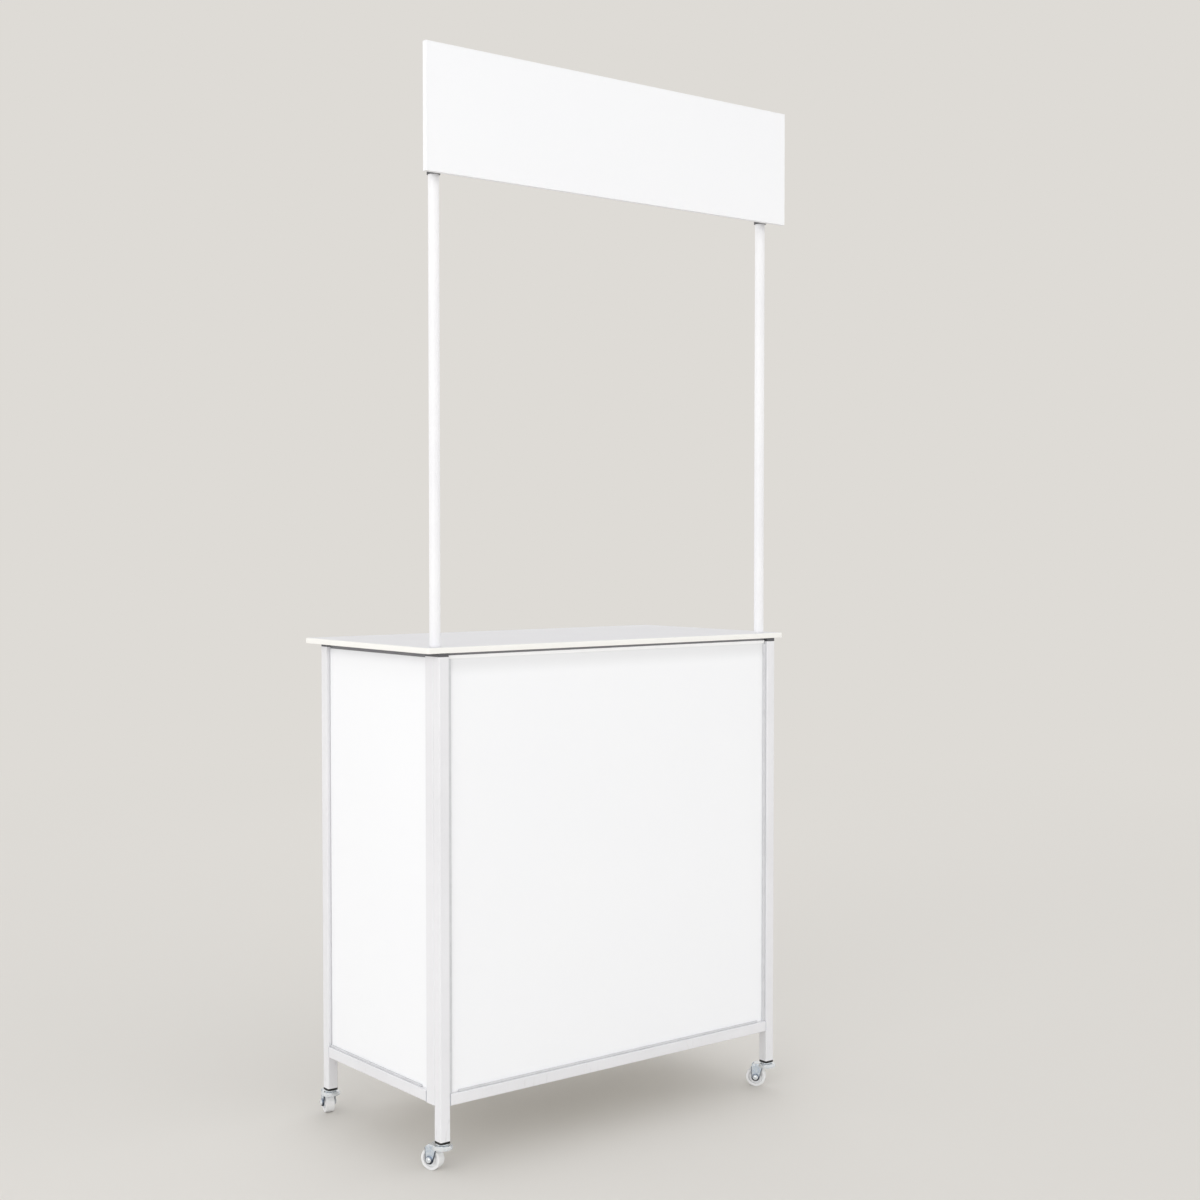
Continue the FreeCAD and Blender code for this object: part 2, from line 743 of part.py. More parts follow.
def clip_screw_places():
    """Plan offsets and heights of the clip screws."""
    return [
        (f"{side} * {POLE_X} + {end} * dims.clip_screw_spread", f"{level} + dims.clip_height / 2")
        for side in SIDES.values()
        for end in (-1, 1)
        for level in CLIP_LEVELS
    ]


def make_header_board():
    board = new_body("header_board")
    outline = new_sketch(board)
    rectangle(outline, f"-{TOP_WIDTH} / 2", "0", f"{TOP_WIDTH} / 2", "dims.header_height")
    slab = pad(board, outline, "dims.header_thickness")
    fillet(board, slab, "dims.header_edge", lambda edge: True)
    pilots = new_sketch(board)
    for x, z in clip_screw_places():
        circle(pilots, x, f"{z} - dims.header_underside", "dims.screw_diameter")
    pocket(board, pilots, "dims.board_screw_bite", flip=True)
    place(board, "0", HEADER_BACK, "dims.header_underside", facing(X_AXIS, Z_AXIS))
    nodes.append(board)


def make_header_clips():
    """Moulded clips: a plate on the back of the board, a neck, and a ring round the pole."""
    reach = f"({POLE_Y} - {HEADER_BACK})"
    plate_back = f"({reach} - dims.clip_plate_thickness)"
    ring = "(dims.pole_diameter + 2 * dims.clip_wall)"
    half_plate = "dims.clip_plate_width / 2"
    half_neck = "dims.clip_neck / 2"
    clip = new_body("clip")
    plate = new_sketch(clip)
    rectangle(plate, f"-{half_plate}", f"-{reach}", half_plate, f"-{plate_back}")
    pad(clip, plate, "dims.clip_height")
    neck = new_sketch(clip)
    rectangle(neck, f"-{half_neck}", f"-{plate_back}", half_neck, "0")
    pad(clip, neck, "dims.clip_height")
    collar = new_sketch(clip)
    circle(collar, "0", "0", ring)
    pad(clip, collar, "dims.clip_height")
    bore = new_sketch(clip)
    circle(bore, "0", "0", "dims.pole_diameter")
    pocket(clip, bore, "dims.clip_height", flip=True)
    drill = new_sketch(clip, "XZ_Plane")
    for end in (-1, 1):
        circle(drill, f"{end} * dims.clip_screw_spread", "dims.clip_height / 2", "dims.screw_hole")
    pocket(clip, drill, f"3 * {reach}", side="Symmetric")
    places = [
        (f"{side} * {POLE_X}", POLE_Y, level, UPRIGHT)
        for side in SIDES.values()
        for level in CLIP_LEVELS
    ]
    copies("header_clips", clip, places)

    y = f"{HEADER_BACK} + dims.clip_plate_thickness"
    fastener = screw("clip_screw", "(dims.clip_plate_thickness + dims.board_screw_bite)")
    copies("clip_screws", fastener, [(x, y, z, pointing(-Y_AXIS)) for x, z in clip_screw_places()])


# Casters, each drawn on the leg's axis with its wheel trailing towards +X

FORK_TOP = f"({CASTER_HEIGHT} - dims.race_thickness - dims.race_play)"
HEAD_UNDERSIDE = f"({FORK_TOP} - dims.fork_head_thickness)"
AXLE_HEIGHT = "dims.wheel_diameter / 2"
FORK_WIDTH = "(dims.fork_gap + 2 * dims.fork_sheet)"


def caster_stem(label):
    """Stem in the leg, bearing race under the leg, and the kingpin with its riveted end."""
    body = new_body(label)
    stem = "dims.stem_diameter / 2"
    race = "dims.race_diameter / 2"
    rivet = "dims.rivet_diameter / 2"
    race_underside = f"{CASTER_HEIGHT} - dims.race_thickness"
    rivet_top = f"{HEAD_UNDERSIDE} - dims.race_play"
    stem_top = f"{CASTER_HEIGHT} + dims.stem_length"
    corners = [
        ("0", stem_top),
        (stem, stem_top),
        (stem, CASTER_HEIGHT),
        (race, CASTER_HEIGHT),
        (race, race_underside),
        (stem, race_underside),
        (stem, rivet_top),
        (rivet, rivet_top),
        (rivet, f"{rivet_top} - dims.rivet_height / 2"),
        (stem, f"{rivet_top} - dims.rivet_height"),
        ("0", f"{rivet_top} - dims.rivet_height"),
    ]
    revolve(body, corners, "XZ_Plane")
    return body


def caster_fork(label):
    """Pressed fork: a hood with two legs behind the kingpin, and the round head that turns on it."""
    body = new_body(label)
    trail = "dims.caster_trail"
    legs = new_sketch(body, "XZ_Plane")
    outline = [
        ("dims.fork_front", FORK_TOP),
        ("dims.fork_front", HEAD_UNDERSIDE),
        (f"{trail} - dims.fork_boss", AXLE_HEIGHT),
        (f"{trail} + dims.fork_boss", AXLE_HEIGHT),
        ("dims.fork_rear", f"{FORK_TOP} - dims.fork_shoulder"),
        ("dims.fork_rear - dims.fork_shoulder", FORK_TOP),
    ]
    polygon(legs, outline)
    pad(body, legs, FORK_WIDTH, side="Symmetric")
    boss = new_sketch(body, "XZ_Plane")
    circle(boss, trail, AXLE_HEIGHT, "2 * dims.fork_boss")
    block = pad(body, boss, FORK_WIDTH, side="Symmetric")
    top = number(FORK_TOP)
    half = number(FORK_WIDTH) / 2
    near = 1e-4

    def is_top_side(edge):
        box = edge.BoundBox
        return box.ZMin > top - near and abs(abs(edge.CenterOfMass.y) - half) < near

    fillet(body, block, "dims.fork_bend", is_top_side)
    slot = new_sketch(body, "XZ_Plane")
    rectangle(slot, "0", "0", f"2 * {trail}", f"{FORK_TOP} - dims.fork_sheet")
    pocket(body, slot, "dims.fork_gap", side="Symmetric")
    rim = "dims.fork_head_diameter / 2"
    bevel = "dims.fork_head_bevel"
    head = [
        ("0", HEAD_UNDERSIDE),
        (rim, HEAD_UNDERSIDE),
        (rim, f"{FORK_TOP} - {bevel}"),
        (f"{rim} - {bevel}", FORK_TOP),
        ("0", FORK_TOP),
    ]
    revolve(body, head, "XZ_Plane")
    kingpin = new_sketch(body, lift=HEAD_UNDERSIDE)
    circle(kingpin, "0", "0", "dims.stem_diameter + 2 * dims.race_play")
    pocket(body, kingpin, "dims.fork_head_thickness", flip=True)
    axle = new_sketch(body, "XZ_Plane")
    circle(axle, trail, AXLE_HEIGHT, "dims.axle_diameter")
    pocket(body, axle, f"2 * {FORK_WIDTH}", side="Symmetric")
    return body


def caster_axle(label):
    """Axle bolt across the fork, with a round head on one side and a hexagon nut on the other."""
    body = new_body(label)
    tip = f"({FORK_WIDTH} / 2 + dims.axle_head_height + dims.axle_tip)"
    shank = new_sketch(body, lift=f"-{tip}")
    circle(shank, "0", "0", "dims.axle_diameter")
    pad(body, shank, f"{tip} + {FORK_WIDTH} / 2")
    head = new_sketch(body, lift=f"{FORK_WIDTH} / 2")
    circle(head, "0", "0", "dims.axle_head")
    pad(body, head, "dims.axle_head_height")
    nut = new_sketch(body, lift=f"-{FORK_WIDTH} / 2")
    hexagon(nut, "dims.axle_head")
    pad(body, nut, "dims.axle_head_height", flip=True)
    return body


def caster_wheel(label):
    """Moulded wheel about its own Y axis: a hub, a thin web and a rounded rim."""
    body = new_body(label)
    bore = "(dims.axle_diameter / 2 + dims.axle_play)"
    hub = "dims.hub_diameter / 2"
    rim = "(dims.wheel_diameter / 2 - dims.wheel_rim)"
    tread = "dims.wheel_diameter / 2"
    upper = [
        (bore, "dims.hub_width / 2"),
        (hub, "dims.hub_width / 2"),
        (hub, "dims.wheel_web / 2"),
        (rim, "dims.wheel_web / 2"),
        (rim, "dims.wheel_width / 2"),
        (tread, "dims.wheel_width / 2"),
    ]
    lower = [(x, f"-{y}") for x, y in reversed(upper)]
    wheel = revolve(body, upper + lower, "XY_Plane")
    outer = number(tread)

    def is_tread_edge(edge):
        return abs(edge.BoundBox.XMax - outer) < 1e-4 and edge.BoundBox.YLength < 1e-4

    fillet(body, wheel, "dims.wheel_round", is_tread_edge)
    return body


def make_casters():
    for row, y in POST_ROWS.items():
        for name, side in SIDES.items():
            corner = f"{row}_{name}"
            x = f"{side} * ({HALF_WIDTH} - dims.post_size / 2)"
            angle = f"dims.swivel_{corner} * 1 deg"
            axle_x = f"{x} + dims.caster_trail * cos({angle})"
            axle_y = f"{y} + dims.caster_trail * sin({angle})"
            place(caster_stem(f"caster_stem_{corner}"), x, y, "0")
            place(caster_fork(f"caster_fork_{corner}"), x, y, "0")
            place(caster_wheel(f"caster_wheel_{corner}"), axle_x, axle_y, AXLE_HEIGHT)
            axle = place(caster_axle(f"caster_axle_{corner}"), axle_x, axle_y, AXLE_HEIGHT)
            swivel = FreeCAD.Rotation(Z_AXIS, number(f"dims.swivel_{corner}"))
            axle.Placement.Rotation = swivel * pointing(-Y_AXIS)
            for piece in ("stem", "fork", "wheel"):
                turned = doc.getObject(f"caster_{piece}_{corner}")
                turned.setExpression("Placement.Rotation.Angle", angle)
            for piece in ("stem", "fork", "axle", "wheel"):
                nodes.append(doc.getObject(f"caster_{piece}_{corner}"))


def check(document):
    """Stop on any object that failed, and on any node without a sound solid."""
    document.recompute()
    for item in document.Objects:
        if "Invalid" in item.State or "Error" in item.State:
            raise ValueError(f"{item.Label} failed: {item.State}")
    for node in nodes:
        shape = node.Shape
        if shape.isNull() or not shape.isValid() or not shape.Solids:
            raise ValueError(f"{node.Label} has no sound solid")


make_posts()
make_pole_sockets()
make_rails()
make_top_angles()
make_shelf_bearers()
make_panels()
make_side_seals()
make_panel_lugs()
make_shelves()
make_table_top()
make_plugs()
make_screws()
make_stop_bolts()
make_poles()
make_header_board()
make_header_clips()
make_casters()
check(doc)

os.makedirs("parts", exist_ok=True)
for node in nodes:
    node.Shape.exportStep(f"parts/{node.Label}.step")
    print(node.Label, len(node.Shape.Solids), "solids", round(node.Shape.Volume / 1000, 2), "cm3")
print(len(nodes), "nodes")
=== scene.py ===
import json
from math import cos, radians, sin

import bmesh
import bpy
from mathutils import Matrix, Vector

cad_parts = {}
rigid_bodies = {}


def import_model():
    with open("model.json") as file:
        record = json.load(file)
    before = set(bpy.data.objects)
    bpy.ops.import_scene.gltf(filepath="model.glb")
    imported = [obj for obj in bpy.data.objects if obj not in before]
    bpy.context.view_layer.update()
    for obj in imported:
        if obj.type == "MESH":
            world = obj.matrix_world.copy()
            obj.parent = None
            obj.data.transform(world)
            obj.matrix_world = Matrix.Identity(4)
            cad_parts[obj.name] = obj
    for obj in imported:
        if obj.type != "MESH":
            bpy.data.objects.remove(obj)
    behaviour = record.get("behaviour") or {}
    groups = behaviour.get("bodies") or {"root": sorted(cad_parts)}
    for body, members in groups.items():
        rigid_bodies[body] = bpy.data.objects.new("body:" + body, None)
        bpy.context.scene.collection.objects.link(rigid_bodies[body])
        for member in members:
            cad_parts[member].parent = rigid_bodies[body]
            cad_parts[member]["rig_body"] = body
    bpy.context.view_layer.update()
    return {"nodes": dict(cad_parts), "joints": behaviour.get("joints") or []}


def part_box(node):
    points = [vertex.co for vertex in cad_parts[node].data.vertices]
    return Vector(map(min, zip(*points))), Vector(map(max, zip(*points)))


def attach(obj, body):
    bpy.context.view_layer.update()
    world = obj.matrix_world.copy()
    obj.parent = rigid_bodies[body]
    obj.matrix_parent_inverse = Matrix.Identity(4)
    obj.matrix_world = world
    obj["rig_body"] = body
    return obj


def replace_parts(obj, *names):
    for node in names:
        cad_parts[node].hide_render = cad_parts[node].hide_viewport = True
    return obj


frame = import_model()
nodes = frame["nodes"]


# Frame tubes: the posts, pole sockets and rails are square steel tube, cut to length and joined
# end to end by plugs. They are powder coated in a soft off-white, which dries with a faint orange
# peel, and the coat is a little scuffed and dusty low down.


class Shade:
    """One output of a material's nodes; arithmetic on it adds Math nodes."""

    def __init__(self, tree, socket=None):
        self.tree = tree
        self.socket = socket

    def node(self, kind, settings, sockets, output=0):
        """Add a node: its settings first, then the values or links of its sockets."""
        made = self.tree.nodes.new(f"ShaderNode{kind}")
        for name, value in settings.items():
            setattr(made, name, value)
        for key, value in sockets.items():
            if isinstance(value, Shade):
                self.tree.links.new(value.socket, made.inputs[key])
            else:
                made.inputs[key].default_value = value
        return Shade(self.tree, made.outputs[output] if made.outputs else None)

    def math(self, operation, first, second):
        return self.node("Math", {"operation": operation}, {0: first, 1: second})

    def __add__(self, other):
        return self.math("ADD", self, other)

    def __rsub__(self, other):
        return self.math("SUBTRACT", other, self)

    def __mul__(self, other):
        return self.math("MULTIPLY", self, other)

    __radd__ = __add__
    __rmul__ = __mul__

    def height(self):
        """Z of this place."""
        return self.node("SeparateXYZ", {}, {0: self}, "Z")

    def ramp(self, low, high):
        """0 where this value is at low, 1 where it is at high, and smooth between."""
        ends = {"Value": self, "From Min": low, "From Max": high}
        return self.node("MapRange", {"interpolation_type": "SMOOTHSTEP"}, ends)

    def mix(self, colour, other):
        """Colour where this value is 0, the other colour where it is 1."""
        return self.node("Mix", {"data_type": "RGBA"}, {0: self, 6: colour, 7: other}, 2)

    def stretched(self, x, y, z):
        """This place with its axes scaled, so that a pattern on it is drawn out."""
        return self.node("Mapping", {}, {"Vector": self, "Scale": (x, y, z)})

    def noise(self, scale, detail=2.0):
        """Noise of about scale blotches in a metre, at this place."""
        return self.node("TexNoise", {}, {"Vector": self, "Scale": scale, "Detail": detail})

    def cells(self, scale):
        """Distance to the nearest of about scale seeds in a metre, at this place."""
        return self.node("TexVoronoi", {}, {"Vector": self, "Scale": scale})

    def bump(self, depth):
        """Normal of a surface that this height, from 0 to 1, lifts by depth in metres."""
        return self.node("Bump", {}, {"Height": self, "Distance": depth})


def new_finish(name):
    """Empty material, with its Object coordinates as the first shade."""
    material = bpy.data.materials.new(name)
    material.use_nodes = True
    material.node_tree.nodes.clear()
    return material, Shade(material.node_tree).node("TexCoord", {}, {}, "Object")


def set_surface(place, sockets):
    """Close a material with the surface shader that these sockets describe."""
    surface = place.node("BsdfPrincipled", {}, sockets)
    surface.node("OutputMaterial", {}, {"Surface": surface})


def srgb(red, green, blue):
    """Shader colour of an 8-bit screen colour."""
    shares = [value / 255 for value in (red, green, blue)]
    return *(s / 12.92 if s <= 0.04045 else ((s + 0.055) / 1.055) ** 2.4 for s in shares), 1.0


SCUFF_COLOUR = srgb(168, 165, 160)
SCUFF_SHARE = 0.3
SCUFF_FULL = 0.4
SCUFF_DRAWN_OUT = 0.25
PEEL_DEPTH = 0.00012


def powder_coat(name, colour, shaded, scuffed_below):
    """Sprayed and baked powder: orange peel, a faint drift in tone, and scuffs low down."""
    material, place = new_finish(name)
    low = 1 - place.height().ramp(SCUFF_FULL * scuffed_below, scuffed_below)
    scuffs = place.stretched(1.0, 1.0, SCUFF_DRAWN_OUT).noise(160.0, 4.0).ramp(0.6, 0.75) * low
    tone = place.noise(7.0, 3.0).ramp(0.3, 0.7)
    sockets = {
        "Base Color": (scuffs * SCUFF_SHARE).mix(tone.mix(colour, shaded), SCUFF_COLOUR),
        "Roughness": 0.36 + 0.1 * place.noise(40.0) + 0.15 * scuffs,
        "Normal": place.noise(650.0, 1.0).bump(PEEL_DEPTH),
    }
    set_surface(place, sockets)
    return material


def dress(prefixes, material):
    """Give a finish to the CAD nodes whose names start with one of these words."""
    for name, node in nodes.items():
        if name.startswith(prefixes):
            node.data.materials[0] = material


frame_paint = powder_coat("frame_paint", srgb(234, 234, 237), srgb(229, 229, 232), scuffed_below=0.16)
dress(("post_front", "post_rear", "pole_socket"), frame_paint)
dress(("rail_front", "rail_rear", "rail_left", "rail_right"), frame_paint)


# Plugs, caps and bushes: moulded plastic pushed into the tube ends. The rail plugs are pale grey,
# so that their collars are only a fine seam beside the posts. The caps and bushes under the table
# top are dark grey, and the plugs in the legs are black.

MERGE_DISTANCE = 1e-6
FLAT_ANGLE = radians(1)
HARD_ANGLE = radians(35)
ROUND_STEPS = 3
PLUG_ROUND = 0.0006
SPARK_DEPTH = 0.00005


def merged_copy(name):
    """Copy of a CAD node's mesh, with its loose triangles joined into whole faces."""
    shape = bmesh.new()
    shape.from_mesh(nodes[name].data)
    bmesh.ops.remove_doubles(shape, verts=shape.verts, dist=MERGE_DISTANCE)
    bmesh.ops.dissolve_limit(shape, angle_limit=FLAT_ANGLE, verts=shape.verts, edges=shape.edges)
    return shape


def hard_edges(shape):
    """Edges at which two faces meet at a clear angle."""
    return [edge for edge in shape.edges if edge.is_manifold and edge.calc_face_angle() > HARD_ANGLE]


def ease(shape, edges, radius, steps=ROUND_STEPS):
    """Round these edges."""
    bmesh.ops.bevel(
        shape, geom=edges, offset=radius, segments=steps, profile=0.5, affect="EDGES", material=-1,
        clamp_overlap=True,
    )


def add_piece(name, shape, materials, beside):
    """Make a piece of this shape, on the body of the CAD node beside it."""
    mesh = bpy.data.meshes.new(name)
    shape.to_mesh(mesh)
    shape.free()
    mesh.shade_smooth()
    mesh.set_sharp_from_angle(angle=HARD_ANGLE)
    for material in materials:
        mesh.materials.append(material)
    piece = bpy.data.objects.new(name, mesh)
    bpy.context.scene.collection.objects.link(piece)
    piece.modifiers.new("flat_faces_stay_flat", "WEIGHTED_NORMAL").keep_sharp = True
    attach(piece, nodes[beside]["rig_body"])
    return piece


def stand_for(node, name, shape, materials):
    """Make a piece of this shape in place of a CAD node."""
    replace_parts(add_piece(name, shape, materials, node), node)


def add_eased(prefixes, radius, material):
    """Pieces for the CAD nodes with these names, with their edges rounded as on the real ones."""
    for name in [name for name in nodes if name.startswith(prefixes)]:
        shape = merged_copy(name)
        ease(shape, hard_edges(shape), radius)
        stand_for(name, f"{name}_eased", shape, [material])


def moulded_plastic(name, colour, greyed, roughness):
    """Moulded plastic with a finely sparked skin and faint greying."""
    material, place = new_finish(name)
    spark = place.noise(1800.0, 2.0)
    sockets = {
        "Base Color": place.noise(60.0, 3.0).ramp(0.35, 0.75).mix(colour, greyed),
        "Roughness": roughness + 0.15 * spark,
        "Normal": spark.bump(SPARK_DEPTH),
    }
    set_surface(place, sockets)
    return material


black_plastic = moulded_plastic("black_plastic", srgb(15, 15, 16), srgb(22, 22, 23), roughness=0.45)
grey_plastic = moulded_plastic("grey_plastic", srgb(200, 202, 208), srgb(190, 192, 199), roughness=0.45)
dark_plastic = moulded_plastic("dark_plastic", srgb(82, 82, 86), srgb(92, 92, 96), roughness=0.42)
add_eased(("leg_plugs",), PLUG_ROUND, black_plastic)
add_eased(("post_caps",), PLUG_ROUND, dark_plastic)
dress(("socket_bush",), dark_plastic)
dress(("rail_end_plugs",), grey_plastic)


# Angle bars and lugs: steel angle under the table top and under the shelves, and small plates on
# the front rail that hold the front panel. They have the frame's coat over rounded edges.

ANGLE_ROUND = 0.0004

add_eased(("top_angle", "shelf_bearer", "panel_lugs"), ANGLE_ROUND, frame_paint)


# Panels: sheets of foamed plastic, hard and satin white on both faces, with sawn edges that were
# broken by hand. They are set back in the frame and screwed on from inside. Just under the table top
# their colour turns a little grey: painted shade, in place of the table top's shadow.

PANEL_ROUND = 0.0005
SKIN_DEPTH = 0.00003
FLOW_DRAWN_OUT = 0.08


def plastic_sheet(name, colour, shaded, top_grey, top_grey_heights):
    """Foamed plastic sheet: a fine skin texture, faint flow marks, and a grey that fades in between two
    heights.
    """
    material, place = new_finish(name)
    top_grey_mask = place.height().ramp(*top_grey_heights)
    flow = place.stretched(1.0, 1.0, FLOW_DRAWN_OUT).noise(26.0, 2.0).ramp(0.3, 0.7)
    skin = place.noise(1400.0, 2.0)
    sockets = {
        "Base Color": top_grey_mask.mix(place.noise(3.0).mix(colour, shaded), top_grey),
        "Roughness": 0.42 + 0.03 * flow + 0.06 * skin,
        "Normal": skin.bump(SKIN_DEPTH),
    }
    set_surface(place, sockets)
    return material


# Painted shade on the front and side sheets: they turn grey just under the table top, where its shadow
# would fall.
front_sheet = plastic_sheet(
    "front_panel_sheet", srgb(248, 249, 251), srgb(246, 247, 250),
    top_grey=srgb(234, 235, 237), top_grey_heights=(0.842, 0.872),
)
side_sheet = plastic_sheet(
    "side_panel_sheet", srgb(247, 248, 250), srgb(245, 246, 249),
    top_grey=srgb(239, 240, 243), top_grey_heights=(0.858, 0.878),
)
add_eased(("panel_front",), PANEL_ROUND, front_sheet)
add_eased(("panel_left", "panel_right"), PANEL_ROUND, side_sheet)


# Seals: strips of soft dark foam on the panels' upper edges, pressed against the table top. Their
# grey is painted shade: it stands in for the shadow in the gap under the table top. The front panel's
# strip lies on a white plastic trim glued over its edge. White strips fill the gaps over the rails, and
# grey plastic beads are stuck to the rails and the front posts, before the panels. The beads' grey is
# painted shade too, in place of the shadow in the recess above the rails and beside the front posts.

SEAL_ROUND = 0.0008
PORE_DEPTH = 0.0002
TRIM_TOP = 0.002
TRIM_LIP = 0.004
TRIM_WALL = 0.001
TRIM_ROUND = 0.0004
FRONT_SEAL_ROUND = 0.0006
FOOT_ROUND = 0.0003
BEAD_DEPTH = 0.004
BEAD_HEIGHT = 0.004
BEAD_WIDTH = 0.006
BEAD_ROUND = 0.0012
BEAD_ENDS = {"panel_front": (0.018, 0.018), "panel_left": (0.02, 0.002), "panel_right": (0.02, 0.002)}

# The foam's grey is painted shade, standing in for the shadow in the gap under the table top.
gap_shade_foam, place = new_finish("black_foam")
pores = place.cells(1600.0)
sockets = {
    "Base Color": pores.mix(srgb(116, 116, 119), srgb(140, 140, 144)),
    "Roughness": 0.85 + 0.1 * pores,
    "Normal": pores.bump(PORE_DEPTH),
}
set_surface(place, sockets)
add_eased(("side_seals",), SEAL_ROUND, gap_shade_foam)


def strip(low, high, radius):
    """Straight strip between two corners, with its edges rounded."""
    shape = bmesh.new()
    bmesh.ops.create_cube(shape, size=1.0)
    bmesh.ops.scale(shape, verts=shape.verts, vec=high - low)
    bmesh.ops.translate(shape, verts=shape.verts, vec=(low + high) / 2)
    ease(shape, shape.edges[:], radius)
    return shape


front_low, front_high = (Vector(corner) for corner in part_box("panel_front"))
top_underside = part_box("table_top")[0][2]
trim_high = Vector((front_high.x, front_high.y, front_high.z + TRIM_TOP))
trim_low = Vector((front_low.x, front_low.y - TRIM_WALL, front_high.z - TRIM_LIP))
shape = strip(trim_low, trim_high, TRIM_ROUND)
behind_lip = [vert for vert in shape.verts if vert.co.z < front_high.z and vert.co.y > front_low.y]
bmesh.ops.translate(shape, verts=behind_lip, vec=(0.0, 0.0, TRIM_LIP))
trim_plastic = moulded_plastic("trim_plastic", srgb(247, 247, 248), srgb(244, 244, 245), roughness=0.4)
add_piece("panel_front_trim", shape, [trim_plastic], "panel_front")
# The front seal is painted shade too: its grey fills the gap over the front panel in place of the shadow
# there.
seal_low = Vector((front_low.x, front_low.y, trim_high.z))
seal_high = Vector((front_high.x, front_high.y, top_underside))
add_piece("panel_front_seal", strip(seal_low, seal_high, FRONT_SEAL_ROUND), [gap_shade_foam], "side_seals")

# The beads' grey is painted shade, standing in for the shadow in the recess above the rails and beside the
# front posts.
bead_painted_shade = moulded_plastic("bead_painted_shade", srgb(213, 214, 217), srgb(206, 207, 210), roughness=0.5)
rail_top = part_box("rail_front_lower")[1][2]
for panel, across, outward in (("panel_front", 1, -1), ("panel_left", 0, -1), ("panel_right", 0, 1)):
    low, high = (Vector(corner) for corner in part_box(panel))
    high.z = low.z
    low.z = rail_top
    add_piece(f"{panel}_foot", strip(low, high, FOOT_ROUND), [trim_plastic], panel)
    high.z = rail_top + BEAD_HEIGHT
    along = 1 - across
    low[along] += BEAD_ENDS[panel][0]
    high[along] -= BEAD_ENDS[panel][1]
    face = low[across] if outward < 0 else high[across]
    low[across], high[across] = sorted((face, face + outward * BEAD_DEPTH))
    add_piece(f"{panel}_bead", strip(low, high, BEAD_ROUND), [bead_painted_shade], "rail_end_plugs")

for side, inner, inward in (("left", 1, 1), ("right", 0, -1)):
    post_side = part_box(f"post_front_{side}")[inner][0]
    start, end = sorted((post_side, post_side + inward * BEAD_WIDTH))
    low = Vector((start, front_low.y - BEAD_DEPTH, rail_top))
    high = Vector((end, front_low.y, trim_low.z))
    add_piece(f"panel_front_bead_{side}", strip(low, high, BEAD_ROUND), [bead_painted_shade], "rail_end_plugs")


# Shelves: white melamine faced chipboard on the angle bars, cut out round the pole sockets and the
# rear posts. The rear edge has a melamine band; the other edges are bare chipboard.

FACING = 0.5
SHELF_ROUND = 0.0003
PEARL_DEPTH = 0.00008
CHIP_DEPTH = 0.0003

melamine, place = new_finish("shelf_board")
pearl = place.noise(420.0, 3.0)
sockets = {
    "Base Color": place.noise(12.0).mix(srgb(240, 239, 236), srgb(235, 234, 231)),
    "Roughness": 0.38 + 0.14 * pearl,
    "Normal": pearl.bump(PEARL_DEPTH),
}
set_surface(place, sockets)

chipboard, place = new_finish("chipboard")
chips = place.stretched(1.0, 1.0, 3.0).cells(420.0)
fibres = place.stretched(1.0, 1.0, 4.0).noise(900.0, 3.0)
sockets = {
    "Base Color": (0.6 * chips + 0.6 * fibres).ramp(0.2, 0.8).mix(srgb(202, 174, 132), srgb(142, 110, 74)),
    "Roughness": 0.8 + 0.1 * fibres,
    "Normal": (chips + fibres).bump(CHIP_DEPTH),
}
set_surface(place, sockets)

for level in ("shelf_lower", "shelf_upper"):
    shape = merged_copy(level)
    for face in shape.faces:
        is_cut = abs(face.normal.z) < FACING and face.normal.y < FACING
        face.material_index = int(is_cut)
    ease(shape, hard_edges(shape), SHELF_ROUND)
    stand_for(level, f"{level}_board", shape, [melamine, chipboard])


# Table top: a thin board with pale grey laminate on top, drilled for the poles, and a thick white
# plastic band glued round its edge. The band is trimmed flush and milled to a round upper corner. The
# laminate's pale grey is partly its own tone and partly painted shade, for a top that takes less light
# than the sides.

HOLE_REACH = 0.012
HOLE_ROUND = 0.0006
PEBBLE_DEPTH = 0.0001

laminate, place = new_finish("top_laminate")
pebble = place.noise(520.0, 2.0)
sockets = {
    "Base Color": place.noise(10.0).mix(srgb(225, 225, 228), srgb(220, 220, 224)),
    "Roughness": 0.4 + 0.12 * pebble,
    "Normal": pebble.bump(PEBBLE_DEPTH),
}
set_surface(place, sockets)

pole_boxes = [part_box("header_pole_left"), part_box("header_pole_right")]
pole_centres = [((Vector(low) + Vector(high)) / 2).to_2d() for low, high in pole_boxes]


def at_pole(edge):
    """Whether an edge is on the rim of a pole's hole."""
    middle = (edge.verts[0].co + edge.verts[1].co).to_2d() / 2
    return any((middle - centre).length < HOLE_REACH for centre in pole_centres)


shape = merged_copy("table_top")
ease(shape, [edge for edge in hard_edges(shape) if at_pole(edge)], HOLE_ROUND)
stand_for("table_top", "table_top_board", shape, [laminate])

BAND_ROUND = 0.0025
BAND_LOWER_ROUND = 0.001
BAND_STEPS = 6
BAND_GRAIN_DEPTH = 0.00002

banding, place = new_finish("edge_band")
sockets = {
    "Base Color": place.noise(20.0).mix(srgb(248, 247, 243), srgb(245, 244, 240)),
    "Roughness": 0.3 + 0.1 * place.noise(300.0),
    "Normal": place.noise(900.0).bump(BAND_GRAIN_DEPTH),
}
set_surface(place, sockets)


def is_outer(edge):
    """Whether an edge borders the outside wall of a ring about the origin."""
    walls = [face for face in edge.link_faces if abs(face.normal.z) < FACING]
    return len(walls) == 1 and walls[0].normal.dot(walls[0].calc_center_median()) > 0


